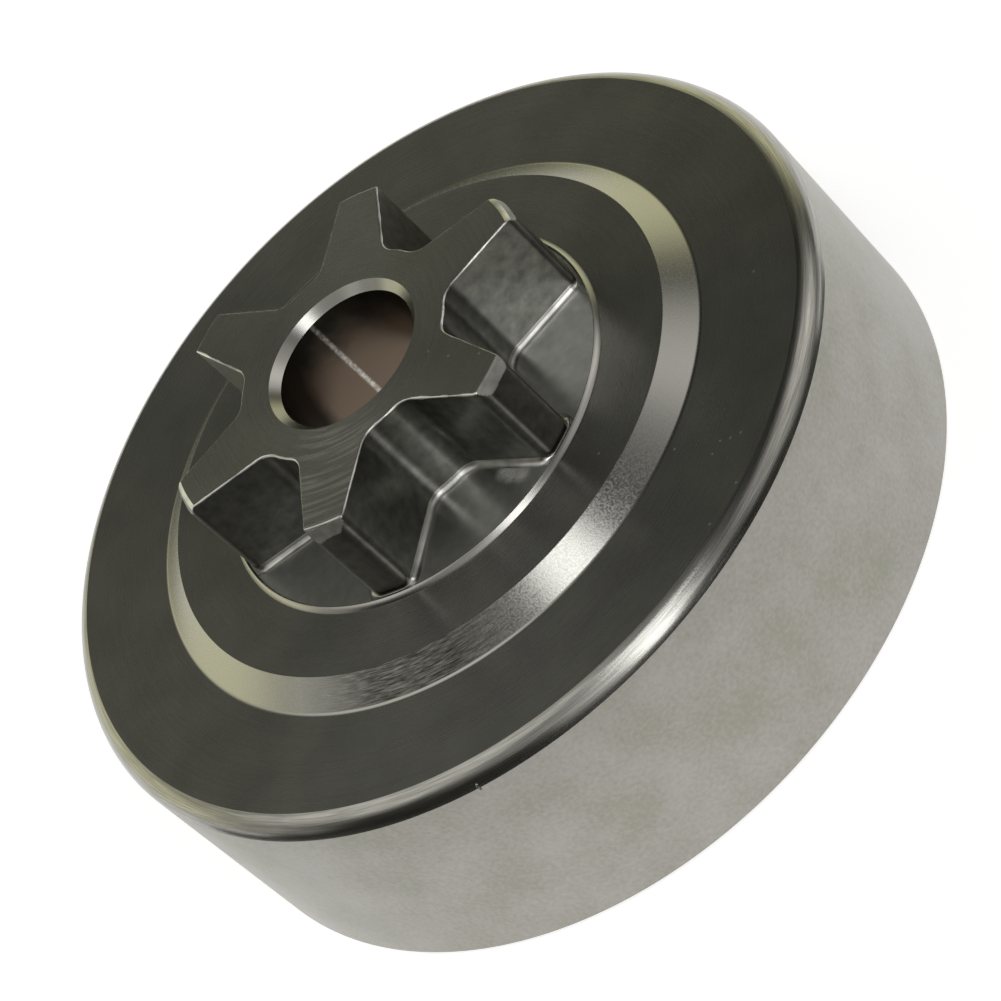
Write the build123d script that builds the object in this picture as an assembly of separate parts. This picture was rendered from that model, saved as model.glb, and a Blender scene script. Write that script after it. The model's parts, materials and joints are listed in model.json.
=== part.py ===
"""Clutch drum with a spur sprocket, for a chain saw. Millimetres, +Z along the bore towards the sprocket.

The part stands on the open rim of the drum, and the origin is the centre of that rim.
"""
from build123d import *
import math
import os

# Drum: a turned steel cup, open at the bottom
drum_radius = 34.0          # outside of the friction wall
drum_wall = 2.75            # thickness of the friction wall
drum_depth = 19.2           # open rim to the flat outer face
web_thickness = 3.2         # flat outer face to the floor inside
edge_setback = 1.45         # crowned edge, measured along the outer face
edge_drop = 1.47            # the same edge, measured along the side
edge_bulge = 0.26           # crown of the edge outside its chord
floor_round = 1.5           # rounded corner between the floor inside and the friction wall
rim_break = 0.4             # small chamfers on the open rim

# Boss: the raised middle of the outer face, with a cone-shaped side
boss_foot_radius = 24.5     # cone at the outer face
boss_top_radius = 22.25     # cone at the top of the boss
boss_height = 1.6           # above the outer face

# Seam between the sprocket's base and the boss
base_radius = 16.45         # round base of the sprocket
braze_gap = 0.05            # radial gap filled by the braze
lip_width = 0.42            # rolled lip of the boss round the hole
lip_height = 0.25           # crest of the lip above the boss
lip_crest_width = 0.12      # flat top of the lip
base_edge_break = 0.15      # chamfer on the upper edge of the base

# Sprocket: spur teeth with straight flanks
tooth_count = 6
sprocket_height = 10.5      # outer face of the drum to the front of the teeth
gullet_floor_rise = 0.2     # floor between the teeth above the boss
tip_setback = 0.25          # tips stand back from the edge of the round base
tip_width = 3.25            # across a tooth at its tip
flank_angle = 10.3          # degrees, each flank to the tooth's centre line
root_radius = 9.2
root_fillet = 1.2
tip_corner_round = 0.7      # plan rounding where a flank meets the tip
tip_chamfer_depth = 0.45    # turned chamfer on the front of the tips, along the radius
tip_chamfer_height = 0.75   # the same chamfer along the axis
bore_radius = 6.0
bore_chamfer = 0.65

# Levels and radii that follow from the sizes above
inner_radius = drum_radius - drum_wall
floor_level = drum_depth - web_thickness
boss_level = drum_depth + boss_height
gullet_level = boss_level + gullet_floor_rise
front_level = drum_depth + sprocket_height
hole_radius = base_radius + braze_gap
tip_radius = base_radius - tip_setback


def turned(outline):
    """Turns a closed outline of (radius, height) points and arcs about the Z axis."""
    with BuildPart() as body:
        with BuildSketch(Plane.XZ):
            with BuildLine():
                for run in outline:
                    if len(run) == 3:
                        ThreePointArc(*run)
                    else:
                        Line(*run)
            make_face()
        revolve(axis=Axis.Z)
    return body.part


def polygon_runs(points):
    """The straight runs that close a list of points."""
    return list(zip(points, points[1:] + points[:1]))


def corner_middle(centre, radius, angle):
    """Middle point of a rounded corner, seen from the centre of the rounding."""
    turn = math.radians(angle)
    return (centre[0] + radius * math.cos(turn), centre[1] + radius * math.sin(turn))


def crowned_middle(start, end, bulge):
    """Middle point of a crowned edge: the middle of its chord, moved out by the bulge."""
    run = end[0] - start[0]
    rise = end[1] - start[1]
    chord = math.hypot(run, rise)
    return ((start[0] + end[0]) / 2 + bulge * rise / chord, (start[1] + end[1]) / 2 - bulge * run / chord)


def clutch_drum():
    """The cup: friction wall, web, crowned edge, boss and the lip round its hole."""
    rim_inside = (inner_radius + rim_break, 0)
    rim_outside = (drum_radius - rim_break, 0)
    side_bottom = (drum_radius, rim_break)
    side_top = (drum_radius, drum_depth - edge_drop)
    face_outside = (drum_radius - edge_setback, drum_depth)
    edge_middle = crowned_middle(side_top, face_outside, edge_bulge)
    boss_foot = (boss_foot_radius, drum_depth)
    boss_edge = (boss_top_radius, boss_level)
    lip_outside = (hole_radius + lip_width, boss_level)
    lip_crest = (hole_radius + lip_crest_width, boss_level + lip_height)
    hole_top = (hole_radius, boss_level + lip_height)
    hole_bottom = (hole_radius, floor_level)
    floor_outside = (inner_radius - floor_round, floor_level)
    wall_top = (inner_radius, floor_level - floor_round)
    floor_centre = (inner_radius - floor_round, floor_level - floor_round)
    floor_middle = corner_middle(floor_centre, floor_round, 45)
    wall_bottom = (inner_radius, rim_break)
    return turned([
        (rim_inside, rim_outside),
        (rim_outside, side_bottom),
        (side_bottom, side_top),
        (side_top, edge_middle, face_outside),
        (face_outside, boss_foot),
        (boss_foot, boss_edge),
        (boss_edge, lip_outside),
        (lip_outside, lip_crest),
        (lip_crest, hole_top),
        (hole_top, hole_bottom),
        (hole_bottom, floor_outside),
        (floor_outside, floor_middle, wall_top),
        (wall_top, wall_bottom),
        (wall_bottom, rim_inside),
    ])


def on_circle(radius, angle):
    """Point at an angle in degrees round the axis."""
    turn = math.radians(angle)
    return (radius * math.cos(turn), radius * math.sin(turn))


def distance_from_axis(corner):
    """Plan distance of a corner from the bore's axis."""
    return math.hypot(corner.X, corner.Y)


def tooth_outline():
    """Plan of the toothed wheel: tip arcs, straight flanks and root arcs, with their corners rounded."""
    half_tip = math.degrees(math.asin(tip_width / 2 / tip_radius))
    flank_offset = tip_radius * math.sin(math.radians(half_tip + flank_angle))
    half_root = math.degrees(math.asin(flank_offset / root_radius)) - flank_angle
    pitch = 360 / tooth_count
    with BuildSketch() as plan:
        with BuildLine():
            for tooth in range(tooth_count):
                middle = tooth * pitch
                tip_start = on_circle(tip_radius, middle - half_tip)
                tip_end = on_circle(tip_radius, middle + half_tip)
                root_start = on_circle(root_radius, middle + half_root)
                root_end = on_circle(root_radius, middle + pitch - half_root)
                next_tip = on_circle(tip_radius, middle + pitch - half_tip)
                ThreePointArc(tip_start, on_circle(tip_radius, middle), tip_end)
                Line(tip_end, root_start)
                ThreePointArc(root_start, on_circle(root_radius, middle + pitch / 2), root_end)
                Line(root_end, next_tip)
        make_face()
        fillet(plan.vertices().group_by(distance_from_axis)[-1], tip_corner_round)
        fillet(plan.vertices().group_by(distance_from_axis)[0], root_fillet)
    return plan.sketch


def sprocket():
    """The toothed wheel on its round base, with chamfered tips and bore."""
    base = turned(polygon_runs([
        (0, floor_level),
        (base_radius, floor_level),
        (base_radius, gullet_level - base_edge_break),
        (base_radius - base_edge_break, gullet_level),
        (0, gullet_level),
    ]))
    teeth = Pos(0, 0, floor_level) * extrude(tooth_outline(), front_level - floor_level)
    tip_cutter = turned(polygon_runs([
        (tip_radius - tip_chamfer_depth, front_level),
        (tip_radius + tip_chamfer_depth, front_level - 2 * tip_chamfer_height),
        (tip_radius + tip_chamfer_depth, front_level + tip_chamfer_height),
        (tip_radius - tip_chamfer_depth, front_level + tip_chamfer_height),
    ]))
    bore_cutter = turned(polygon_runs([
        (0, floor_level - bore_chamfer),
        (bore_radius + 2 * bore_chamfer, floor_level - bore_chamfer),
        (bore_radius, floor_level + bore_chamfer),
        (bore_radius, front_level - bore_chamfer),
        (bore_radius + 2 * bore_chamfer, front_level + bore_chamfer),
        (0, front_level + bore_chamfer),
    ]))
    return base + teeth - tip_cutter - bore_cutter


pieces = {"clutch_drum": clutch_drum(), "sprocket": sprocket()}
os.makedirs("parts", exist_ok=True)
for name, piece in pieces.items():
    export_step(piece, f"parts/{name}.step")
    box = piece.bounding_box()
    print(name, "volume", round(piece.volume, 1), "from", box.min, "to", box.max)
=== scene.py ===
# %% [markdown]
# # A clutch drum with its chain sprocket
#
# This part turns the chain of a saw: a steel cup that clutch shoes grip from inside, with a
# six-tooth wheel brazed into its face. Everything on it was cut on a lathe, a mill or a grinder,
# so the lesson is about bare steel: how each cut leaves its own marks, and how edges catch light.
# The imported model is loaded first. It fixes every size, and nothing here moves it.

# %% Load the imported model
import json
import math

import bpy
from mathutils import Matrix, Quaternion, Vector, noise


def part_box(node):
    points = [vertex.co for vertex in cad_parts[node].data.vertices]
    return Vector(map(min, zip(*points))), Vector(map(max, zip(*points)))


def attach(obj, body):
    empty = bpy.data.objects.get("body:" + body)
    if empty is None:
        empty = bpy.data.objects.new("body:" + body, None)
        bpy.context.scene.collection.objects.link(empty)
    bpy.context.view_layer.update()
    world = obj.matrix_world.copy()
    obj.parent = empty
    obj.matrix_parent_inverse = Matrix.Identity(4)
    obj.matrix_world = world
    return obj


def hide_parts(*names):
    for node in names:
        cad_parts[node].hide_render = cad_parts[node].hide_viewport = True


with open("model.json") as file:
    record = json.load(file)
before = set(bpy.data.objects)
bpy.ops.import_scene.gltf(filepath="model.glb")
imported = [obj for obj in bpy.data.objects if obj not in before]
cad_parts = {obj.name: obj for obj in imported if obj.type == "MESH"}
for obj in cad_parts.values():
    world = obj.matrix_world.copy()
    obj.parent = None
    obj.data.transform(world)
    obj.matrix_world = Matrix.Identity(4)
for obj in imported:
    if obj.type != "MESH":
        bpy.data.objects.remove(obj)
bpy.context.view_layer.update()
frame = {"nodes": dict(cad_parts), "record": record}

print("nodes", sorted(frame["nodes"]))

# %% [markdown]
# ## Sizes
#
# Sizes that the model already holds are read from it: the boxes of its two pieces and the two bores
# of its record. The smaller ones, such as roundings and setbacks, are written here in millimetres.
# All meshes are made in metres, so one factor, `mm`, turns the one into the other.

# %% Sizes read from the model, in millimetres
mm = 0.001
bores = {mount["name"]: mount["dims"] for mount in frame["record"]["mounts"] if mount["kind"] == "bore"}
drum_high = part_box("clutch_drum")[1] / mm
wheel_low, wheel_high = (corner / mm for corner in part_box("sprocket"))

drum_radius = round(drum_high.x, 2)
inner_radius = bores["clutch_seat"]["r_mm"]
bore_radius = bores["bore"]["r_mm"]
base_radius = round(wheel_high.x, 2)
floor_level = round(wheel_low.z, 2)
front_level = round(wheel_high.z, 2)
print("drum radius", drum_radius, "friction wall", inner_radius, "bore", bore_radius)
print("base of the wheel", base_radius, "from", floor_level, "to", front_level)

# %% Sizes of the drum
face_level = 19.2           # flat outer face
edge_setback = 1.45         # crowned edge, measured along the face
edge_drop = 1.47            # the same edge, measured along the side
edge_bulge = 0.285          # crown of the edge outside its chord
floor_round = 1.5           # corner between the floor inside and the friction wall
rim_break = 0.4             # chamfers on the open rim
cone_foot_radius = 24.5     # raised boss: its cone-shaped side at the face
cone_top_radius = 22.25     # the same cone at the top
boss_level = 20.8           # top of the boss
cone_foot_round = 0.5
cone_top_round = 0.08
braze_gap = 0.05            # between the wheel's base and the hole
hole_radius = base_radius + braze_gap
lip_width = 0.43            # rolled lip round the hole
lip_height = 0.37
lip_crest = 0.08            # width of the lip's crest
lip_drop = 0.1              # the crest falls this far towards the hole
lip_bulge = 0.03
crest_bulge = 0.05
print("hole", hole_radius, "lip up to", boss_level + lip_height)

# %% [markdown]
# ## The drum: one outline, turned
#
# A lathe makes the drum by moving a tool along an outline while the blank spins, so the mesh is made
# the same way: an outline of radius and height is swept round the axis. A Screw modifier could do the
# sweep too, but then no face could remember its own finish. The outline is a list of corners. Each has
# a rounding, because no real corner is quite sharp, and the thin line of light on a rounded edge is
# most of what the eye reads as machined steel.
#
# `rounded_outline` swaps each corner for an arc. It also puts a guard point just beside each arc, so
# that smooth shading bends only over the arc and the flat beside it stays flat.

# %% Outline with rounded corners
arc_step = math.radians(7)
guard = 0.05


def turned_by(vector, angle):
    """A flat vector turned by an angle in radians."""
    return Vector((vector.x * math.cos(angle) - vector.y * math.sin(angle),
                   vector.x * math.sin(angle) + vector.y * math.cos(angle)))


def rounded_outline(corners):
    """Points (radius, height, finish of the run that follows) of a closed outline."""
    points = []
    for place, (radius, height, rounding, arc_finish, run_finish) in enumerate(corners):
        corner = Vector((radius, height))
        before = (Vector(corners[place - 1][:2]) - corner).normalized()
        after = (Vector(corners[(place + 1) % len(corners)][:2]) - corner).normalized()
        last_finish = corners[place - 1][4]
        if rounding == 0:
            points.append((radius, height, run_finish))
            continue
        half = before.angle(after) / 2
        reach = rounding / math.tan(half)
        centre = corner + (before + after).normalized() * (rounding / math.sin(half))
        start = corner + before * reach - centre
        turn = math.pi - 2 * half
        if start.cross(corner - centre) < 0:
            turn = -turn
        steps = max(3, math.ceil(abs(turn) / arc_step))
        points.append((*(corner + before * (reach + guard)), last_finish))
        for step in range(steps + 1):
            finish = arc_finish if step < steps else run_finish
            points.append((*(centre + turned_by(start, turn * step / steps)), finish))
        points.append((*(corner + after * (reach + guard)), run_finish))
    return points


# %% [markdown]
# The edge between face and side is a crowned chamfer: one shallow arc that meets the face and the
# ground side at a fine crease and is tangent to neither. The creases keep the bands of light on the edge
# crisp. The lip round the hole is two more such arcs, a steep outer slope and a small round crest. Each
# arc follows from its chord and its bulge, and is given as corners without rounding.

# %% Crowned edge and lip
edge_steps = 16
lip_steps = 8
crest_steps = 12


def crowned(start, end, bulge, steps, finish, last_finish):
    """Corners along an arc from start to end whose middle stands out from the chord by the bulge."""
    start = Vector(start)
    end = Vector(end)
    half_chord = (end - start).length / 2
    radius = (half_chord ** 2 + bulge ** 2) / (2 * bulge)
    out = Vector((end.y - start.y, start.x - end.x)).normalized()
    centre = (start + end) / 2 - out * (radius - bulge)
    half_sweep = math.asin(half_chord / radius)
    middle = math.atan2(out.y, out.x)
    corners = []
    for step in range(steps + 1):
        angle = middle + half_sweep * (2 * step / steps - 1)
        spot = centre + radius * Vector((math.cos(angle), math.sin(angle)))
        corners.append((spot.x, spot.y, 0, finish, finish if step < steps else last_finish))
    sweep = math.degrees(2 * half_sweep)
    print(finish, "arc of radius", round(radius, 2), "turns through", round(sweep, 1), "degrees")
    return corners


edge_start = (drum_radius, face_level - edge_drop)
edge_end = (drum_radius - edge_setback, face_level)
lip_foot = (hole_radius + lip_width, boss_level)
lip_top = (hole_radius + lip_crest, boss_level + lip_height)
lip_inside = (hole_radius, boss_level + lip_height - lip_drop)
edge_corners = crowned(edge_start, edge_end, edge_bulge, edge_steps, "edge", "face")
lip_corners = crowned(lip_foot, lip_top, lip_bulge, lip_steps, "lip", "lip")
lip_corners += crowned(lip_top, lip_inside, crest_bulge, crest_steps, "lip", "inside")[1:]

# %% [markdown]
# The outline starts at the open rim, climbs the outside, crosses the face and comes back inside. Every
# corner says how far it is rounded, which finish its arc has and which finish the run after it has. The
# side has one extra corner just below the edge, so that the nick in the next step has points to push.

# %% The drum's corners
rim_round = 0.06
wall_round = 0.08
hole_round = 0.1
nick_height = 0.26
side_top = face_level - edge_drop

drum_corners = [
    (inner_radius + rim_break, 0, rim_round, "rim", "rim"),
    (drum_radius - rim_break, 0, rim_round, "rim", "rim"),
    (drum_radius, rim_break, wall_round, "rim", "side"),
    (drum_radius, side_top - nick_height, 0, "side", "side"),
    (drum_radius, side_top - guard, 0, "side", "side"),
    *edge_corners,
    (drum_radius - edge_setback - guard, face_level, 0, "face", "face"),
    (cone_foot_radius, face_level, cone_foot_round, "lip", "cone"),
    (cone_top_radius, boss_level, cone_top_round, "cone", "face"),
    (hole_radius + lip_width + guard, boss_level, 0, "face", "face"),
    *lip_corners,
    (hole_radius, floor_level, hole_round, "inside", "inside"),
    (inner_radius, floor_level, floor_round, "inside", "inside"),
    (inner_radius, rim_break, wall_round, "inside", "rim"),
]
drum_outline = rounded_outline(drum_corners)
print("the drum's outline has", len(drum_outline), "points")

# %% [markdown]
# Handling has left one small nick in the real edge. It could be cut with a Boolean, but that would
# break the neat rows of faces. Here the points near it are pushed in a little instead, and the sweep
# puts its copies of the outline closer together there, so that there are points to push.

# %% Nick in the edge
nick_angle = math.radians(-109)
nick_width = 0.13
nick_depth = 0.16
nick_rise = 0.1
nick_parts = 6
outside_from = inner_radius + 1


def nick_push(radius, height, angle):
    """How far the nick pushes a point of the drum's outside towards the axis."""
    if radius <= outside_from:
        return 0
    across = (angle - nick_angle) * drum_radius / nick_width
    along = (height - side_top - nick_rise) / nick_height
    return nick_depth * max(0, 1 - across ** 2 - along ** 2)


nick_copies = range(-nick_parts - 1, nick_parts + 2)
nick_angles = [nick_angle + nick_width / drum_radius * part / nick_parts for part in nick_copies]
print("the nick has", len(nick_angles), "copies of the outline")

# %% [markdown]
# Both pieces become mesh objects in the same way. Every face has a finish by name, and the place of
# that name in a list is the face's material slot. Shading is smooth, and is split where two faces meet
# at more than a given angle, so that real corners stay crisp.

# %% Mesh objects
def finish_mesh(name, points, faces, finishes, finish_order, corner_angle):
    """Mesh object with smooth shading, split where two faces meet at a real corner."""
    mesh = bpy.data.meshes.new(name)
    mesh.from_pydata([Vector(point) * mm for point in points], [], faces)
    mesh.polygons.foreach_set("material_index", [finish_order.index(finish) for finish in finishes])
    mesh.shade_smooth()
    mesh.set_sharp_from_angle(angle=math.radians(corner_angle))
    mesh.validate()
    piece = bpy.data.objects.new(name, mesh)
    bpy.context.scene.collection.objects.link(piece)
    print(name, "has", len(mesh.vertices), "points and", len(mesh.polygons), "faces")
    return piece


# %% Sweep the outline
drum_copies = 360
drum_corner_angle = 14
drum_finishes = ["face", "cone", "edge", "lip", "side", "rim", "inside"]

drum_angles = [math.tau * copy / drum_copies - math.pi for copy in range(drum_copies)]
drum_angles = sorted(drum_angles + nick_angles)
ring = len(drum_outline)
drum_points = []
drum_faces = []
drum_face_finishes = []
for copy, angle in enumerate(drum_angles):
    following = (copy + 1) % len(drum_angles)
    for spot, (radius, height, finish) in enumerate(drum_outline):
        reach = radius - nick_push(radius, height, angle)
        drum_points.append((reach * math.cos(angle), reach * math.sin(angle), height))
        above = (spot + 1) % ring
        drum_faces.append((copy * ring + spot, following * ring + spot,
                           following * ring + above, copy * ring + above))
        drum_face_finishes.append(finish)
drum = finish_mesh("turned_drum", drum_points, drum_faces, drum_face_finishes,
                   drum_finishes, drum_corner_angle)

# %% [markdown]
# ## The wheel: a tooth outline, lofted
#
# The teeth are milled, so seen along the bore they are lines and arcs: a tip arc, a straight flank, a
# root arc and a rounding at each meeting. Half a tooth is worked out and mirrored six times over.
# Each point also keeps the direction that faces out of the steel there, which lets the next step
# offset the outline: inwards for the worn front edge, outwards for the small fillet at the foot.

# %% Sizes of the wheel
tooth_count = 6
tip_setback = 0.25          # tips stand back from the edge of the round base
tip_radius = base_radius - tip_setback
tip_width = 3.25
flank_angle = math.radians(10.3)
root_radius = 9.2
root_fillet = 1.9
tip_corner = 0.7            # plan rounding where a flank meets the tip
worn_tip_corner = 1.05      # the same on two corners that the chain has worn
worn_tip_corners = {(5, -1), (4, 1)}
gullet_level = 21.0         # floor between the teeth
bore_chamfer = 0.65
base_edge_break = 0.03      # upper edge of the round base
print("tips at", tip_radius, "roots at", root_radius)

# %% Half a tooth
half_tip = math.asin(tip_width / 2 / tip_radius)
flank_offset = tip_radius * math.sin(half_tip + flank_angle)
flank_normal = Vector((math.sin(flank_angle), math.cos(flank_angle)))
flank_along = Vector((math.cos(flank_angle), -math.sin(flank_angle)))
tip_steps = 8
corner_steps = 8
flank_steps = 26
fillet_steps = 10
root_steps = 8


def arc(centre, radius, start, end, steps, sign):
    """Points on an arc, each with the direction that faces out of the steel."""
    samples = []
    for step in range(steps + 1):
        angle = start + (end - start) * step / steps
        spoke = Vector((math.cos(angle), math.sin(angle)))
        samples.append((centre + spoke * radius, spoke * sign))
    return samples


def angle_of(vector):
    """Direction of a plan vector, in radians."""
    return math.atan2(vector.y, vector.x)


def rounding_centre(reach, offset):
    """Centre of a rounding: its distance from the axis, and its offset square to the flank."""
    return flank_along * math.sqrt(reach ** 2 - offset ** 2) + flank_normal * offset


def half_tooth(corner_round):
    """Tip to root on one side of a tooth that points along +X."""
    axis = Vector((0, 0))
    tip_centre = rounding_centre(tip_radius - corner_round, flank_offset - corner_round)
    root_centre = rounding_centre(root_radius + root_fillet, flank_offset + root_fillet)
    tip_end = angle_of(tip_centre)
    root_start = angle_of(root_centre)
    flank_turn = angle_of(flank_normal)
    flank_top = tip_centre + flank_normal * corner_round
    flank_foot = root_centre - flank_normal * root_fillet
    samples = arc(axis, tip_radius, 0, tip_end, tip_steps, 1)
    samples += arc(tip_centre, corner_round, tip_end, flank_turn, corner_steps, 1)[1:]
    for step in range(1, flank_steps):
        samples.append((flank_top.lerp(flank_foot, step / flank_steps), flank_normal))
    samples += arc(root_centre, root_fillet, flank_turn - math.pi, root_start - math.pi, fillet_steps, -1)
    samples += arc(axis, root_radius, root_start, math.pi / tooth_count, root_steps, 1)[1:]
    return samples


# %% Plan of the teeth
plan = []
for tooth in range(tooth_count):
    middle = math.tau * tooth / tooth_count
    for side in (-1, 1):
        samples = half_tooth(worn_tip_corner if (tooth, side) in worn_tip_corners else tip_corner)
        if side == -1:
            samples = [(Vector((spot.x, -spot.y)), Vector((out.x, -out.y))) for spot, out in samples[::-1]]
        for spot, out in samples[1:]:
            plan.append((turned_by(spot, middle), turned_by(out, middle), tooth))
print("the plan of the teeth has", len(plan), "points")

# %% [markdown]
# A used wheel isn't even, and the eye looks for that. The burr on the front edges is wider on the side
# that gets rubbed, and its width wanders. All tips have a turned chamfer. The chain has scuffed two of
# them further down and rubbed two others. On those two the worn edge also gets the bright burnished
# finish, a painted highlight of the light that they catch from the side. Beside the two scuffed tips the
# base has a dark slot, where the braze has not filled the seam. All of this could be sculpted by hand,
# but then it would not follow the sizes above.

# %% Wear on the teeth, in millimetres
burr_width = 0.14
burr_wander = 0.58          # share of the burr's width that comes and goes
slow_waves = 0.9            # waves of that wander in each millimetre
fine_waves = 3
fine_share = 0.6
rubbed_side = Vector((0.14, -0.99))
even_rub = 0.8
least_rub = 0.5
tip_chamfer_depth = 0.45    # turned chamfer, along the radius
tip_chamfer_height = 0.75   # the same along the axis
tip_wander = 0.22           # share of that height that comes and goes
tip_waves = 1.7
scuffed_tips = {4: (1.45, -0.3), 5: (1.3, 0.0)}    # growth of the chamfer, and its lean to one side
rounded_tips = {5}          # front edge worn away
rubbed_lit_tips = {0, 3}        # front edge rubbed, and painted bright as a painted highlight
tip_edge_wear = 0.08        # the edge at the top of a chamfer: how far it is worn back
tip_wear_depth = 0.14       # and how far down
bright_tip_wear = 0.22
bright_wear_depth = 0.3
wear_margin = 0.01
slotted_tips = {4, 5}
slot_width = 0.12
slot_depth = 0.8
slot_reach = 0.5            # the slot starts this far inside the tips
slot_fade = 0.4


def clamped(value):
    """A value kept between zero and one."""
    return min(1, max(0, value))


def wander_at(spot, layer, waves):
    """Smooth noise over the plan; each layer has its own pattern."""
    return noise.noise(Vector((spot.x, spot.y, layer)) * waves)


def burr_at(spot, out):
    """Width of the burr on the front edge."""
    wander = wander_at(spot, 0, slow_waves) + fine_share * wander_at(spot, 9, fine_waves)
    rubbed = min(1, max(least_rub, even_rub + out.dot(rubbed_side)))
    return burr_width * rubbed * (1 + burr_wander * wander)


def chamfer_height_at(spot, tooth):
    """Height of the tip chamfer, which a scuff makes larger."""
    tooth_ray = turned_by(Vector((1, 0)), math.tau * tooth / tooth_count)
    growth, lean = scuffed_tips.get(tooth, (1, 0))
    scuff = growth + lean * tooth_ray.cross(spot)
    return tip_chamfer_height * (scuff + tip_wander * wander_at(spot, 5, tip_waves))


def chamfer_reach(height, chamfer_height, bright):
    """Largest radius that the tip chamfer and its wear leave at a height."""
    depth = front_level - height
    if depth >= chamfer_height:
        return tip_radius + 1
    wear_depth = bright_wear_depth if bright else tip_wear_depth
    wear = (bright_tip_wear if bright else tip_edge_wear) * max(0, 1 - depth / wear_depth) ** 2
    return tip_radius - tip_chamfer_depth * (1 - depth / chamfer_height) - wear


burrs = [burr_at(spot, out) for spot, out, tooth in plan]
print("burr from", round(min(burrs), 3), "to", round(max(burrs), 3), "mm wide")

# %% [markdown]
# Now each point of the plan grows a column. It starts inside the bore, crosses the front face, rolls
# over the worn front edge, runs down the flank, turns out along the foot fillet and crosses the floor
# to the round base. Columns side by side make the skin, as in a loft. Where the plan reaches past the
# tip chamfer, the point slides in to the chamfer, as the cutter would have left it. The levels are
# close together near the front, so that the lower line of a scuff can wander.

# %% Columns of the wheel
foot_fillet = 0.48
tip_foot = 0.03             # the fillet shrinks to this below the tips
foot_fade_start = 0.1
foot_fade = 0.4
burr_steps = 4
foot_steps = 7
edge_shares = (0.33, 0.67)
scuff_levels = [0.3 + 0.08 * step for step in range(16)]
flank_levels = scuff_levels + [2.5, 4.5, 6.5]


def wheel_column(spot, out, tooth):
    """Skin of the wheel over one point of the plan: (point, finish of the band that follows)."""
    burr = burr_at(spot, out)
    chamfer_height = chamfer_height_at(spot, tooth)
    inside_tip = tip_radius - foot_fade_start - spot.length
    foot = tip_foot + (foot_fillet - tip_foot) * clamped(inside_tip / foot_fade)
    slot = clamped((spot.length - tip_radius + slot_reach) / slot_fade) if tooth in slotted_tips else 0
    bright = tooth in rubbed_lit_tips
    ray = spot.normalized()
    column = []

    def level(offset, height, finish, inset=0):
        place = spot + out * offset
        reach = chamfer_reach(height, chamfer_height, bright) - inset
        if place.length > reach:
            place = place.normalized() * reach
            if finish == "burr" and tooth in rounded_tips:
                finish = "tip"
            if finish == "flank":
                # The worn edge of the rubbed tips takes the bright burnished finish: a painted highlight
                rubbed_and_lit = bright and front_level - height < bright_wear_depth - wear_margin
                finish = "burr" if rubbed_and_lit else "tip"
        column.append(((place.x, place.y, height), finish))

    def circle(radius, height, finish):
        column.append(((ray.x * radius, ray.y * radius, height), finish))

    circle(bore_radius + bore_chamfer, floor_level, "chamfer")
    circle(bore_radius, floor_level + bore_chamfer, "bore")
    circle(bore_radius, front_level - bore_chamfer, "chamfer")
    circle(bore_radius + bore_chamfer, front_level, "front")
    level(-burr - guard, front_level, "front", guard)
    for step in range(burr_steps + 1):
        angle = math.pi / 2 * step / burr_steps
        finish = "burr" if step < burr_steps else "flank"
        level(burr * (math.sin(angle) - 1), front_level - burr * (1 - math.cos(angle)), finish)
    edge_levels = [burr + (flank_levels[0] - burr) * share for share in edge_shares]
    for depth in edge_levels + flank_levels:
        level(0, front_level - depth, "flank")
    level(0, gullet_level + foot + guard, "flank")
    for step in range(foot_steps + 1):
        angle = math.pi / 2 * step / foot_steps
        finish = "foot" if step < foot_steps else "floor"
        level(foot * (1 - math.cos(angle)), gullet_level + foot * (1 - math.sin(angle)), finish)
    level(foot + min(guard, tip_foot), gullet_level, "floor")
    circle(base_radius - base_edge_break - slot_width * slot, gullet_level, "floor")
    circle(base_radius, gullet_level - base_edge_break - slot_depth * slot, "floor")
    circle(base_radius, floor_level, "floor")
    return column


# %% Join the columns
wheel_corner_angle = 32
wheel_finishes = ["front", "burr", "flank", "tip", "foot", "floor", "chamfer", "bore"]

columns = [wheel_column(spot, out, tooth) for spot, out, tooth in plan]
height_count = len(columns[0])
wheel_points = [point for column in columns for point, finish in column]
wheel_faces = []
wheel_face_finishes = []
for place, column in enumerate(columns):
    beside = (place + 1) % len(columns)
    for band, (point, finish) in enumerate(column):
        above = (band + 1) % height_count
        wheel_faces.append((place * height_count + band, place * height_count + above,
                            beside * height_count + above, beside * height_count + band))
        wheel_face_finishes.append(finish)
wheel = finish_mesh("milled_wheel", wheel_points, wheel_faces, wheel_face_finishes,
                    wheel_finishes, wheel_corner_angle)

# %% [markdown]
# ## Helpers for the finishes
#
# Colours are written as sRGB hex, as a colour picker shows them, and Blender shades in linear light,
# so one function turns the one into the other. A second function adds any node: it sets the node's
# options and fills its inputs, with a link where the value is another node's socket.

# %% Colour and nodes
def linear(hex_colour):
    """sRGB hex to linear RGBA."""
    channels = [int(hex_colour[place:place + 2], 16) / 255 for place in (1, 3, 5)]
    light = [value / 12.92 if value <= 0.04045 else ((value + 0.055) / 1.055) ** 2.4 for value in channels]
    return (*light, 1)


def add_node(tree, kind, inputs=None, **options):
    """Adds a node, sets its options, and sets or links its inputs."""
    node = tree.nodes.new(kind)
    for name, value in options.items():
        setattr(node, name, value)
    for name, value in (inputs or {}).items():
        if isinstance(value, bpy.types.NodeSocket):
            tree.links.new(value, node.inputs[name])
        else:
            node.inputs[name].default_value = value
    return node


print("mid grey is", round(linear("#808080")[0], 3), "in linear light")

# %% [markdown]
# All finishes here are bare steel, so they share one shader: fully metallic, with the default IOR, a
# colour that is the metal's own reflection, a roughness and a relief. Polished steel has a roughness of
# about 0.15 and blasted steel about 0.6, and turned and milled faces lie between. The relief has a real
# depth in millimetres. A lathe's fine rings spread light across themselves, which the anisotropic
# setting draws, with a tangent that runs round the axis.

# %% Bare steel
across_rings = 0.25


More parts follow.
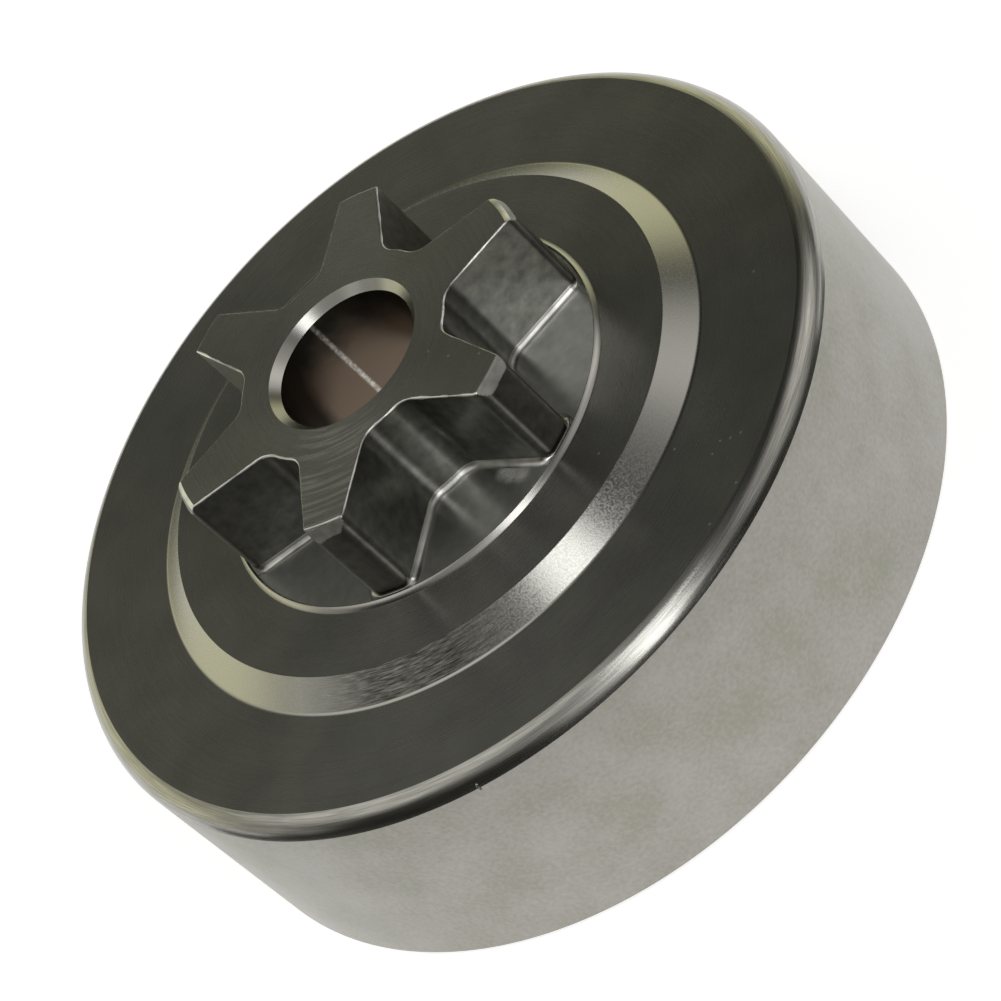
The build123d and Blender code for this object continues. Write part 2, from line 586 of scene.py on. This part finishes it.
def new_steel(name):
    """Empty material with its tree."""
    material = bpy.data.materials.new(name)
    material.use_nodes = True
    material.node_tree.nodes.clear()
    return material, material.node_tree


def steel_surface(tree, colour, roughness, height, depth, anisotropic=0.0):
    """Bare steel: metallic, with a relief of a real depth in millimetres."""
    bump = add_node(tree, "ShaderNodeBump", {"Height": height, "Strength": 1.0, "Distance": depth * mm})
    surface = add_node(tree, "ShaderNodeBsdfPrincipled", {
        "Base Color": colour, "Metallic": 1.0, "Roughness": roughness, "Anisotropic": anisotropic,
        "Anisotropic Rotation": across_rings, "Normal": bump.outputs["Normal"]})
    if anisotropic:
        tangent = add_node(tree, "ShaderNodeTangent", direction_type="RADIAL", axis="Z")
        tree.links.new(tangent.outputs["Tangent"], surface.inputs["Tangent"])
    add_node(tree, "ShaderNodeOutputMaterial", {"Surface": surface.outputs["BSDF"]})


# %% [markdown]
# Even noise gives the small unevenness of every finish. Its size is in millimetres, and a tone goes from
# one colour to another while the noise climbs through the middle of its range, where nearly all of its
# values lie. The grain of real steel is a few hundredths of a millimetre, too fine for the picture, so
# it is drawn about 0.16 mm wide.

# %% Even noise and tones
grain_size = 0.16
blotch_size = 5.0
noise_low = 0.3
noise_high = 0.7


def place_noise(tree, size, detail):
    """Even noise with features of a size in millimetres."""
    place = add_node(tree, "ShaderNodeTexCoord").outputs["Object"]
    even = add_node(tree, "ShaderNodeTexNoise", {"Vector": place, "Scale": 1 / (size * mm), "Detail": detail})
    return even.outputs["Fac"]


def tone_between(tree, value, low_colour, high_colour, low=noise_low, high=noise_high):
    """Colour that goes from one tone to another while a value climbs from low to high."""
    share = add_node(tree, "ShaderNodeMapRange", {"Value": value, "From Min": low, "From Max": high})
    tone = add_node(tree, "ShaderNodeMix", {
        "Factor": share.outputs["Result"], "A": linear(low_colour), "B": linear(high_colour)},
        data_type="RGBA")
    return tone.outputs["Result"]


print("grain drawn", grain_size, "mm wide and blotches", blotch_size, "mm")

# %% [markdown]
# ## Marks of the lathe
#
# A lathe tool leaves fine rings. To draw them, each point's place is turned into lathe terms: how far
# it lies along the outline and how far round the axis. Noise that changes fast along the outline and
# slowly round the axis looks like tool rings. A ring texture would be too regular. The real feed is
# about 0.1 mm a turn, too fine for the picture, so the rings are drawn about 0.3 mm apart.

# %% Ring noise
ring_pitch = 0.3
ring_run = 14.0
middle_ring = 25.0          # radius at which the length of the marks is true
ring_roughness = 0.6


def flat_place(tree):
    """Place in the plan: the object's own coordinates without the height."""
    place = add_node(tree, "ShaderNodeTexCoord").outputs["Object"]
    flat = add_node(tree, "ShaderNodeVectorMath", {0: place, 1: (1, 1, 0)}, operation="MULTIPLY")
    return flat.outputs["Vector"]


def lathe_noise(tree, pitch, run, detail):
    """Noise in rings: pitch is the size across the rings and run the size along them, in millimetres."""
    flat = flat_place(tree)
    place = add_node(tree, "ShaderNodeTexCoord").outputs["Object"]
    height = add_node(tree, "ShaderNodeSeparateXYZ", {"Vector": place}).outputs["Z"]
    radius = add_node(tree, "ShaderNodeVectorMath", {0: flat}, operation="LENGTH").outputs["Value"]
    away = add_node(tree, "ShaderNodeMath", {0: radius, 1: height}, operation="SUBTRACT")
    across = add_node(tree, "ShaderNodeMath", {
        0: away.outputs["Value"], 1: 1 / (pitch * mm)}, operation="MULTIPLY")
    along = add_node(tree, "ShaderNodeVectorMath", {0: flat}, operation="NORMALIZE")
    spin = add_node(tree, "ShaderNodeVectorMath", {
        0: along.outputs["Vector"], "Scale": middle_ring / run}, operation="SCALE")
    spin_axes = add_node(tree, "ShaderNodeSeparateXYZ", {"Vector": spin.outputs["Vector"]})
    rings = add_node(tree, "ShaderNodeCombineXYZ", {
        "X": spin_axes.outputs["X"], "Y": spin_axes.outputs["Y"], "Z": across.outputs["Value"]})
    marks = add_node(tree, "ShaderNodeTexNoise", {
        "Vector": rings.outputs["Vector"], "Scale": 1.0, "Detail": detail, "Roughness": ring_roughness})
    return marks.outputs["Fac"]


print("rings drawn", ring_pitch, "mm apart and", ring_run, "mm long")

# %% [markdown]
# Wear sits in certain places, and three masks say where: a sector is a range of directions round the
# axis, lines are ring marks inside a sector, and specks are small round spots. A painted mask could do
# the same, but places in degrees and millimetres stay true when a size changes.

# %% Masks for wear
def sector_mask(tree, angle, outside, inside):
    """One near a direction round the axis and zero away from it; all three are angles in degrees."""
    ray = add_node(tree, "ShaderNodeVectorMath", {0: flat_place(tree)}, operation="NORMALIZE")
    turn = math.radians(angle)
    near = add_node(tree, "ShaderNodeVectorMath", {
        0: ray.outputs["Vector"], 1: (math.cos(turn), math.sin(turn), 0)}, operation="DOT_PRODUCT")
    share = add_node(tree, "ShaderNodeMapRange", {
        "Value": near.outputs["Value"], "From Min": math.cos(math.radians(outside)),
        "From Max": math.cos(math.radians(inside))})
    return share.outputs["Result"]


def lines_in_sector(tree, lines, low, high, sector, strength):
    """Where ring noise passes from low to high inside a sector, as a mixing factor."""
    share = add_node(tree, "ShaderNodeMapRange", {
        "Value": lines, "From Min": low, "From Max": high, "To Max": strength})
    both = add_node(tree, "ShaderNodeMath", {0: share.outputs["Result"], 1: sector}, operation="MULTIPLY")
    return both.outputs["Value"]


def speck_mask(tree, specks, radius):
    """One on each speck and zero elsewhere, with soft edges; the places are x and y in millimetres."""
    flat = flat_place(tree)
    mask = 0.0
    for x, y in specks:
        away = add_node(tree, "ShaderNodeVectorMath", {0: flat, 1: (x * mm, y * mm, 0)}, operation="DISTANCE")
        spot = add_node(tree, "ShaderNodeMapRange", {
            "Value": away.outputs["Value"], "From Min": radius * mm, "From Max": radius * mm / 3})
        mask = add_node(tree, "ShaderNodeMath", {
            0: spot.outputs["Result"], 1: mask}, operation="MAXIMUM").outputs["Value"]
    return mask


# %% [markdown]
# ## Flat faces: face-turned steel
#
# The drum's flat faces and the front of the teeth were faced on a lathe, then wiped with oil. To the
# eye that is a satin mirror: it takes the dark of the room, with a soft sheen across the rings. The
# drum's rings are shallow. On the front of the teeth they are deeper, and in one sector they are
# painted bright, a painted sheen where they catch the light. A few pits are painted as near-white
# specks, as painted glints. A flat grey would look like plastic here, so the rings change the relief
# and the roughness as well.

# %% Face-turned carbon and alloy steel
# Pits on the faces, painted near-white as painted glints; x and y in millimetres
drum_glint_specks = [(14.1, -20.9), (16.0, -24.0), (12.9, -29.3), (16.1, -27.9), (26.4, -12.1), (17.0, -23.5),
               (17.7, -24.0), (18.5, -24.3), (9.8, -17.6)]
wheel_glint_specks = [(5.4, -7.0), (6.4, -9.0), (8.3, -11.2)]
glint_radius = 0.13
# Near-white steel: painted glints and painted sheen on the flat faces, and the bare steel of the floor scrape
bare_steel_and_glint = "#f4f2ea"
front_pitch = 0.4
# Painted sheen: in this sector the front's rings are painted bright
lit_sector = (-118, 30, 10)
lit_low = 0.48
lit_high = 0.6
lit_sheen_strength = 0.45
face_depth = 0.0004
front_depth = 0.02
satin_low = 0.265
satin_high = 0.285
satin_spread = 0.6


def turned_face_steel(name, pitch, depth, low_colour, high_colour, specks, sheen_strength=0.0):
    """Flat faces: satin, dark where they mirror a dark room, rings of a pitch and depth, painted glints and
    sheen.
    """
    material, tree = new_steel(name)
    rings = lathe_noise(tree, pitch, ring_run, detail=3)
    bare = tone_between(tree, place_noise(tree, blotch_size, detail=4), low_colour, high_colour)
    # In one sector the rings are painted bright: a painted sheen where they catch the light
    if sheen_strength:
        sector = sector_mask(tree, *lit_sector)
        facing = lathe_noise(tree, ring_pitch, ring_run, detail=2)
        painted_sheen_rings = lines_in_sector(tree, facing, lit_low, lit_high, sector, sheen_strength)
        bare = add_node(tree, "ShaderNodeMix", {
            "Factor": painted_sheen_rings, "A": bare, "B": linear(bare_steel_and_glint)}, data_type="RGBA").outputs["Result"]
    # The specks are painted near-white: painted glints of the pits
    colour = add_node(tree, "ShaderNodeMix", {
        "Factor": speck_mask(tree, specks, glint_radius), "A": bare, "B": linear(bare_steel_and_glint)},
        data_type="RGBA")
    roughness = add_node(tree, "ShaderNodeMapRange", {
        "Value": rings, "From Min": noise_low, "From Max": noise_high,
        "To Min": satin_low, "To Max": satin_high})
    steel_surface(tree, colour.outputs["Result"], roughness.outputs["Result"], rings, depth, satin_spread)
    return material


# Oiled steel, dark and satin: the eye sees the room in it, blurred
face_steel = turned_face_steel("face_turned_carbon_steel", ring_pitch, face_depth,
                               "#949390", "#a3a29e", drum_glint_specks)
# A deeper cut in harder steel, with a painted sheen: the eye sees the tool's arcs where the light is right
front_steel = turned_face_steel("face_turned_alloy_steel", front_pitch, front_depth,
                                "#a5a4a0", "#b2b1ad", wheel_glint_specks, lit_sheen_strength)
print("made", face_steel.name, "and", front_steel.name)

# %% [markdown]
# ## Lip and chamfers: the last light cut
#
# Lips, chamfers and the open rim get the lathe's last, lightest cut, so they are smooth and a little
# brighter than the faces. Only faint rings are left. One plain material does for all of them, because
# each is too narrow to show more.

# %% Finish-turned carbon steel
# Smooth and clean: the eye sees thin, unbroken lines of light
bright_steel, tree = new_steel("finish_turned_carbon_steel")
rings = lathe_noise(tree, ring_pitch, ring_run, detail=3)
colour = tone_between(tree, rings, "#9a9994", "#aaa9a4")
steel_surface(tree, colour, roughness=0.26, height=rings, depth=0.0006, anisotropic=0.2)
print("made", bright_steel.name)

# %% [markdown]
# ## Crowned edge: tumbled steel
#
# After turning, drums are tumbled in bulk to take the sharpness off. The crowned edge takes most of the
# knocks, so it is streaked along its length. Ring noise with short runs gives the streaks. They are
# drawn 0.14 mm wide, about twice as coarse as real ones, so that they show.

# %% Tumbled carbon steel
streak_width = 0.14
streak_run = 3.0

# Light and dark streaks: the eye sees a long highlight that breaks up along the edge
streaked_steel, tree = new_steel("tumbled_carbon_steel")
streaks = lathe_noise(tree, streak_width, streak_run, detail=3)
grain = place_noise(tree, grain_size, detail=3)
colour = tone_between(tree, streaks, "#85847f", "#b0afaa")
steel_surface(tree, colour, roughness=0.25, height=grain, depth=0.003, anisotropic=0.2)
print("made", streaked_steel.name)

# %% [markdown]
# ## Cone: rubbed steel
#
# The cone-shaped side of the boss is turned bright. On one side it is speckled, and next to that it is
# scratched dark where it has been rubbed against something. Both are masked by sectors. The scratches
# are fine ring noise with short runs. Real ones are finer than a pixel, so these are drawn 0.07 mm wide.

# %% Rubbed carbon steel
speckled_sector = (-92, 42, 26)
least_speckle = 0.3
no_speckle = 0.5
scratched_sector = (-115, 27, 8)
scratch_width = 0.07
scratch_run = 1.4
scratch_low = 0.12
scratch_high = 0.56

# Bright with a grain: the eye sees a clear flash of light, then a dull, scratched patch beside it
cone_steel, tree = new_steel("rubbed_carbon_steel")
share = add_node(tree, "ShaderNodeMath", {
    0: sector_mask(tree, *speckled_sector), 1: least_speckle}, operation="MAXIMUM")
speckle = add_node(tree, "ShaderNodeMix", {
    "Factor": share.outputs["Value"], "A": no_speckle, "B": place_noise(tree, grain_size, detail=3)},
    data_type="FLOAT").outputs["Result"]
scratches = lathe_noise(tree, scratch_width, scratch_run, detail=4)
sector = sector_mask(tree, *scratched_sector)
scratched = lines_in_sector(tree, scratches, scratch_low, scratch_high, sector, 1.0)
bare = tone_between(tree, speckle, "#9a9994", "#b4b3ae")
colour = add_node(tree, "ShaderNodeMix", {
    "Factor": scratched, "A": bare, "B": linear("#363532")}, data_type="RGBA").outputs["Result"]
roughness = add_node(tree, "ShaderNodeMapRange", {
    "Value": speckle, "From Min": noise_low, "From Max": noise_high,
    "To Min": 0.2, "To Max": 0.34}).outputs["Result"]
steel_surface(tree, colour, roughness, height=speckle, depth=0.004, anisotropic=0.2)
print("made", cone_steel.name)

# %% [markdown]
# ## Side: ground steel
#
# The outside of a drum is centreless ground, which leaves a matte skin without rings. Handling gives it
# soft blotches, and small pores stay between them. Two sizes of noise are mixed for that. The pores are
# drawn 0.35 mm wide, coarser than real ones, so that they show. The inside has the same finish.

# %% Ground carbon steel
pore_size = 0.35
pore_share = 0.45
ground_grain = 1.5 * grain_size

# Matte and pale: the eye sees the white floor in it, spread out and a little warm
side_steel, tree = new_steel("ground_carbon_steel")
grain = place_noise(tree, ground_grain, detail=3)
blotches = place_noise(tree, blotch_size, detail=9)
pores = place_noise(tree, pore_size, detail=2)
spots = add_node(tree, "ShaderNodeMix", {
    "Factor": pore_share, "A": blotches, "B": pores}, data_type="FLOAT").outputs["Result"]
colour = tone_between(tree, spots, "#959489", "#a6a39f", low=0.36, high=0.64)
steel_surface(tree, colour, roughness=0.38, height=grain, depth=0.004)
print("made", side_steel.name)

# %% [markdown]
# ## Teeth: milled and hardened steel
#
# The wheel is milled from alloy steel and hardened, which leaves it mottled. The flanks are painted
# darkest, as painted shade between the teeth, and the floors between the teeth are painted lighter, as
# painted light on faces that look up. One floor has a scraped patch. The scuffed tips are dull, as if
# filed. All three are one recipe with other tones.

# %% Milled alloy steel
mottle_size = 0.9
floor_scrapes = [(3.5, -12.3), (3.85, -13.0), (4.4, -13.7)]
scrape_radius = 1.0
scrape_grain = 0.16
scrape_strength = 0.6
scrape_roughness = 0.55


def milled_steel(name, low_colour, high_colour, roughness, scraped=()):
    """Flanks, floors and tips of the teeth: mottled, with scraped places where any are given."""
    material, tree = new_steel(name)
    mottle = place_noise(tree, mottle_size, detail=4)
    colour = tone_between(tree, mottle, low_colour, high_colour)
    if scraped:
        scrape = speck_mask(tree, scraped, scrape_radius)
        grains = add_node(tree, "ShaderNodeMapRange", {
            "Value": place_noise(tree, scrape_grain, detail=3), "From Min": 0.35, "From Max": 0.65,
            "To Max": scrape_strength})
        patch = add_node(tree, "ShaderNodeMath", {
            0: grains.outputs["Result"], 1: scrape}, operation="MULTIPLY")
        colour = add_node(tree, "ShaderNodeMix", {
            "Factor": patch.outputs["Value"], "A": colour, "B": linear(bare_steel_and_glint)},
            data_type="RGBA").outputs["Result"]
        roughness = add_node(tree, "ShaderNodeMapRange", {
            "Value": scrape, "To Min": roughness, "To Max": scrape_roughness}).outputs["Result"]
    steel_surface(tree, colour, roughness, height=mottle, depth=0.002)
    return material


# Painted dark and mottled, as painted shade: the eye sees deep flanks with soft reflections
shaded_flank_steel = milled_steel("milled_alloy_steel_painted_shade", "#595955", "#74746e", 0.31)
# Painted light, with lighter tones: the eye sees the flanks mirrored in the floors
lit_gullet_steel = milled_steel("milled_gullet_steel_painted_light", "#b7bab7", "#c9ccc9", 0.28, floor_scrapes)
# Rough: the eye sees a dull grey patch that hardly changes with the light
tip_steel = milled_steel("filed_alloy_steel", "#85857f", "#a3a39d", 0.62)
print("made", shaded_flank_steel.name, lit_gullet_steel.name, tip_steel.name)

# %% [markdown]
# ## Front edges and feet: burnished steel
#
# The chain rubs a burr off the front edges of the teeth, and the cutter's corner leaves the fillet at
# their foot smooth. Both catch light as thin lines. A slow noise makes the lines brighter in some places
# than in others, because an even line looks drawn on.

# %% Burnished edges
rub_size = 3.5
burr_grain = 2 * grain_size

# Bright and a little rough: the eye sees thin lines that come and go
edge_steel, tree = new_steel("burnished_steel_edge")
grain = place_noise(tree, burr_grain, detail=3)
rub = place_noise(tree, rub_size, detail=2)
colour = tone_between(tree, rub, "#83827e", "#d2d1cc", low=0.36, high=0.56)
steel_surface(tree, colour, roughness=0.34, height=grain, depth=0.006)
print("made", edge_steel.name)

# %% [markdown]
# ## Bore: reamed steel with a brown film
#
# The bore runs on a needle bearing, and heat and old oil have left a brown film in it. The film is
# painted dark near the front and away from the light, as painted shade, and shows its brown further
# down, on the side that the light reaches. One bright line is painted along the bore, a painted
# highlight of the light that runs along a tube. The line is a narrow band on a plane through the axis,
# broken up by noise.

# %% Reamed steel with brown oxide
film_size = 3.0
shade_top = 28.3              # level at which the painted shade starts to give way to brown
shade_foot = 21.0             # level at which the painted shade has quite gone
# Sector on the side that the light reaches, where the brown shows; elsewhere the film is painted dark as
# painted shade
lit_brown_sector = (82, 80, 45)
# Painted highlight: a bright band along the bore, where the light runs along the tube
highlight_angle = math.radians(99)
highlight_half_width = 0.26
highlight_core = 0.08
tear_size = 0.35

# Brown over metal, with painted shade and a painted highlight: the eye sees a warm, dim tube with one clear
# line
oxide_steel, tree = new_steel("reamed_steel_with_brown_oxide")
film = place_noise(tree, film_size, detail=4)
place = add_node(tree, "ShaderNodeTexCoord").outputs["Object"]
height = add_node(tree, "ShaderNodeSeparateXYZ", {"Vector": place}).outputs["Z"]
deep = add_node(tree, "ShaderNodeMapRange", {
    "Value": height, "From Min": shade_top * mm, "From Max": shade_foot * mm}).outputs["Result"]
patchy = add_node(tree, "ShaderNodeMath", {0: deep, 1: film}, operation="ADD").outputs["Value"]
lit_brown_share = add_node(tree, "ShaderNodeMath", {
    0: patchy, 1: sector_mask(tree, *lit_brown_sector)}, operation="MULTIPLY").outputs["Value"]
brown = tone_between(tree, lit_brown_share, "#403e37", "#796a5c", low=0.5, high=1.0)
highlight_normal = (math.sin(highlight_angle), -math.cos(highlight_angle), 0)
beside = add_node(tree, "ShaderNodeVectorMath", {
    0: place, 1: highlight_normal}, operation="DOT_PRODUCT").outputs["Value"]
offset = add_node(tree, "ShaderNodeMath", {0: beside}, operation="ABSOLUTE").outputs["Value"]
line = add_node(tree, "ShaderNodeMapRange", {
    "Value": offset, "From Min": highlight_half_width * mm, "From Max": highlight_core * mm}).outputs["Result"]
torn = add_node(tree, "ShaderNodeMapRange", {
    "Value": place_noise(tree, tear_size, detail=3), "From Min": 0.25, "From Max": 0.7}).outputs["Result"]
broken = add_node(tree, "ShaderNodeMath", {0: line, 1: torn}, operation="MULTIPLY").outputs["Value"]
# The bright band is painted on, as a painted highlight
colour = add_node(tree, "ShaderNodeMix", {
    "Factor": broken, "A": brown, "B": linear("#f2eee4")}, data_type="RGBA").outputs["Result"]
steel_surface(tree, colour, roughness=0.3, height=film, depth=0.01)
print("made", oxide_steel.name)

# %% [markdown]
# ## Put the finishes on
#
# The slots of each mesh are filled in the order of its list of finishes, because that is the order in
# which the faces were numbered. Then both pieces are tied to the model: each rides the one body and
# stands in for the node that it was made from.

# %% Fill the material slots
drum_materials = {"face": face_steel, "cone": cone_steel, "edge": streaked_steel, "lip": bright_steel,
                  "side": side_steel, "rim": bright_steel, "inside": side_steel}
wheel_materials = {"front": front_steel, "burr": edge_steel, "flank": shaded_flank_steel, "tip": tip_steel,
                   "foot": edge_steel, "floor": lit_gullet_steel, "chamfer": bright_steel, "bore": oxide_steel}
for finish in drum_finishes:
    drum.data.materials.append(drum_materials[finish])
for finish in wheel_finishes:
    wheel.data.materials.append(wheel_materials[finish])
print("slots filled", len(drum.data.materials), "and", len(wheel.data.materials))

# %% Tie the pieces to the model
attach(drum, "root")
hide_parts("clutch_drum")
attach(wheel, "root")
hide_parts("sprocket")
print(drum.name, "and", wheel.name, "ride the root body")

# %% [markdown]
# ## Camera
#
# The camera stands where the photograph was taken: in front, a little to the right and 39 degrees up.
# It is also rolled, so that the bore points up and to the left in the picture.

# %% Camera
view_turn = math.radians(8.25)
view_rise = math.radians(38.945)
view_roll = math.radians(-47.25)
view_distance = 282.4
aim_reach = 12.31
lens_length = 140.26

toward = Vector((math.sin(view_turn), -math.cos(view_turn), 0))
up = Vector((0, 0, 1))
aim = (toward * aim_reach + up * face_level) * mm
back = toward * math.cos(view_rise) + up * math.sin(view_rise)
camera_data = bpy.data.cameras.new("camera")
camera_data.lens = lens_length
camera_data.clip_start = 0.01
camera_data.clip_end = 20
camera = bpy.data.objects.new("camera", camera_data)
bpy.context.scene.collection.objects.link(camera)
camera.location = aim + back * view_distance * mm
camera.rotation_mode = "QUATERNION"
camera.rotation_quaternion = (-back).to_track_quat("-Z", "Y") @ Quaternion((0, 0, 1), view_roll)
bpy.context.scene.camera = camera
print("camera at", [round(value / mm, 1) for value in camera.location], "mm")

# %% [markdown]
# ## Floor
#
# Steel has almost no colour of its own: it shows the room, and the largest thing in this room is the
# floor. It is white paper on a light table. The glow makes it nearly white in the picture and in the
# steel, and the paper's own diffuse part still takes a soft shadow. Only rays that see the paper from
# the camera or from the steel meet the glow, so it hardly lights the black card of the next step.

# %% Floor of white paper
floor_size = 3.0
paper_glow = 0.71

floor_points = [(-floor_size, -floor_size, 0), (floor_size, -floor_size, 0),
                (floor_size, floor_size, 0), (-floor_size, floor_size, 0)]
floor_mesh = bpy.data.meshes.new("pale_floor")
floor_mesh.from_pydata(floor_points, [], [(0, 1, 2, 3)])
floor = bpy.data.objects.new("pale_floor", floor_mesh)
bpy.context.scene.collection.objects.link(floor)
floor_material = bpy.data.materials.new("white_paper")
floor_material.use_nodes = True
floor_material.cycles.emission_sampling = "NONE"
tree = floor_material.node_tree
tree.nodes.clear()
path = add_node(tree, "ShaderNodeLightPath")
seen = add_node(tree, "ShaderNodeMath", {
    0: path.outputs["Is Camera Ray"], 1: path.outputs["Is Glossy Ray"]}, operation="ADD")
glow = add_node(tree, "ShaderNodeEmission", {"Color": linear("#ffffff"), "Strength": paper_glow})
paper = add_node(tree, "ShaderNodeBsdfDiffuse", {"Color": linear("#c8c8c8")})
lit = add_node(tree, "ShaderNodeAddShader", {0: glow.outputs["Emission"], 1: paper.outputs["BSDF"]})
mix = add_node(tree, "ShaderNodeMixShader", {
    "Fac": seen.outputs["Value"], 1: paper.outputs["BSDF"], 2: lit.outputs["Shader"]})
add_node(tree, "ShaderNodeOutputMaterial", {"Surface": mix.outputs["Shader"]})
floor_mesh.materials.append(floor_material)
print("floor", 2 * floor_size, "m wide")

# %% [markdown]
# ## Black flag
#
# A crowned edge above a white floor would be white all along its lower half. In a real studio a
# photographer stands low black card round the object, called a flag, and the edge mirrors it as a dark
# line. This one is a low fence of changing height. The camera can't see it and it casts no shadow: it
# shows only in the metal.

# %% Directions round the object
camera_side = math.atan2(toward.y, toward.x)


def direction(turn, rise):
    """Unit vector at an angle from the camera's side, in degrees, and a height above the horizon."""
    angle = camera_side + math.radians(turn)
    tilt = math.radians(rise)
    return Vector((math.cos(angle) * math.cos(tilt), math.sin(angle) * math.cos(tilt), math.sin(tilt)))


print("the camera's side is at", round(math.degrees(camera_side), 2), "degrees")

# %% Flag
flag_radius = 0.066
flag_step = 5
flag_parts = [(-97, -82, 0.012), (-82, -67, 0.019), (-67, -42, 0.036), (-42, -22, 0.042),
              (-22, 23, 0.017), (23, 43, 0.026), (43, 63, 0.018), (63, 78, 0.011)]

flag_points = []
flag_faces = []
for first, last, flag_height in flag_parts:
    for turn in range(first, last, flag_step):
        corner = len(flag_points)
        for side in (direction(turn, 0), direction(turn + flag_step, 0)):
            foot = side * flag_radius
            flag_points += [(foot.x, foot.y, 0), (foot.x, foot.y, flag_height)]
        flag_faces.append((corner, corner + 2, corner + 3, corner + 1))
flag_mesh = bpy.data.meshes.new("black_flag")
flag_mesh.from_pydata(flag_points, [], flag_faces)
flag = bpy.data.objects.new("black_flag", flag_mesh)
bpy.context.scene.collection.objects.link(flag)
flag.visible_camera = False
flag.visible_diffuse = False
flag.visible_shadow = False
flag_material = bpy.data.materials.new("black_card")
flag_material.use_nodes = True
card = flag_material.node_tree.nodes["Principled BSDF"]
card.inputs["Base Color"].default_value = linear("#43423d")
card.inputs["Roughness"].default_value = 0.9
flag_mesh.materials.append(flag_material)
print("flag of", len(flag_faces), "cards")

# %% [markdown]
# ## Dome of soft cards
#
# The rest of the room is a dark dome with soft round cards in it, as if white boards stood about in a
# dim room. A card lights the part of the steel that mirrors its place on the dome. Area lights could do
# it too, but it is easy to give a card on a dome a soft edge.

# %% Dome
# Turn from the camera's side and rise above the horizon, radius of the full part and of the
# faded edge, all in degrees, and colour
soft_cards = [
    # To the right
    (95, 38, 6, 22, "#d8d6d2"),
    (93, 20, 3, 16, "#b4b3af"),
    (66, 30, 12, 36, "#d4d2ce"),
    # Left of the softbox of the next step
    (-30, 38, 5, 30, "#bcbcb8"),
    # To the left
    (-108, 12, 6, 24, "#b4b2ac"),
    (-108, 58, 15, 33, "#fffdf7"),
    (-80, 44, 3, 14, "#8a8985"),
    # Close beside the softbox
    (-10, 16, 4, 15, "#9a9994"),
    (14, 32, 4, 14, "#d8d6d2"),
    (-16, 36, 3, 12, "#969591"),
    # Overhead
    (-60, 84, 4, 24, "#8c8c88"),
    # Behind, and a little olive
    (140, 6, 6, 30, "#fffdd2"),
    (-142, 8, 6, 34, "#fffdd8"),
    (-150, 40, 0, 40, "#5d5e58"),
    (168, 18, 4, 22, "#6a6c58"),
]

world = bpy.data.worlds.new("studio_dome")
bpy.context.scene.world = world
world.use_nodes = True
tree = world.node_tree
tree.nodes.clear()
ray = add_node(tree, "ShaderNodeTexCoord").outputs["Generated"]
light = linear("#2b2b29")[:3]
for turn, rise, inner, outer, tint in soft_cards:
    near = add_node(tree, "ShaderNodeVectorMath", {0: ray, 1: direction(turn, rise)}, operation="DOT_PRODUCT")
    share = add_node(tree, "ShaderNodeMapRange", {
        "Value": near.outputs["Value"], "From Min": math.cos(math.radians(outer)),
        "From Max": math.cos(math.radians(inner))}, interpolation_type="SMOOTHSTEP")
    shine = add_node(tree, "ShaderNodeVectorMath", {
        0: linear(tint)[:3], "Scale": share.outputs["Result"]}, operation="SCALE")
    light = add_node(tree, "ShaderNodeVectorMath", {
        0: light, 1: shine.outputs["Vector"]}, operation="ADD").outputs["Vector"]
dome = add_node(tree, "ShaderNodeBackground", {"Color": light, "Strength": 1.0})
add_node(tree, "ShaderNodeOutputWorld", {"Surface": dome.outputs["Background"]})
print("dome with", len(soft_cards), "soft cards")

# %% [markdown]
# ## Tall softbox
#
# One strong light remains: a tall, narrow softbox on the camera's side. It gives the flash on the cone,
# the bright run of the edge and the fine lines on the teeth. A sun lamp would give points instead of
# long highlights. Its energy follows from the brightness that its surface should have. The camera
# can't see it.

# %% Tall soft light beside the camera
strip_distance = 0.55
strip_width = 0.14
strip_length = 0.68
strip_turn = 1.5
strip_rise = 43
strip_radiance = 3.7

strip_data = bpy.data.lights.new("tall_softbox", "AREA")
strip_data.shape = "RECTANGLE"
strip_data.size = strip_width
strip_data.size_y = strip_length
strip_data.energy = strip_radiance * math.pi * strip_width * strip_length
strip = bpy.data.objects.new("tall_softbox", strip_data)
bpy.context.scene.collection.objects.link(strip)
strip_from = direction(strip_turn, strip_rise)
strip.location = strip_from * strip_distance
strip.rotation_mode = "QUATERNION"
strip.rotation_quaternion = (-strip_from).to_track_quat("-Z", "Y")
strip.visible_camera = False
print("softbox energy", round(strip_data.energy, 3), "W")

# %% [markdown]
# ## View
#
# The view transform is Standard, so the colours come out as they were written.

# %% View
bpy.context.scene.view_settings.view_transform = "Standard"
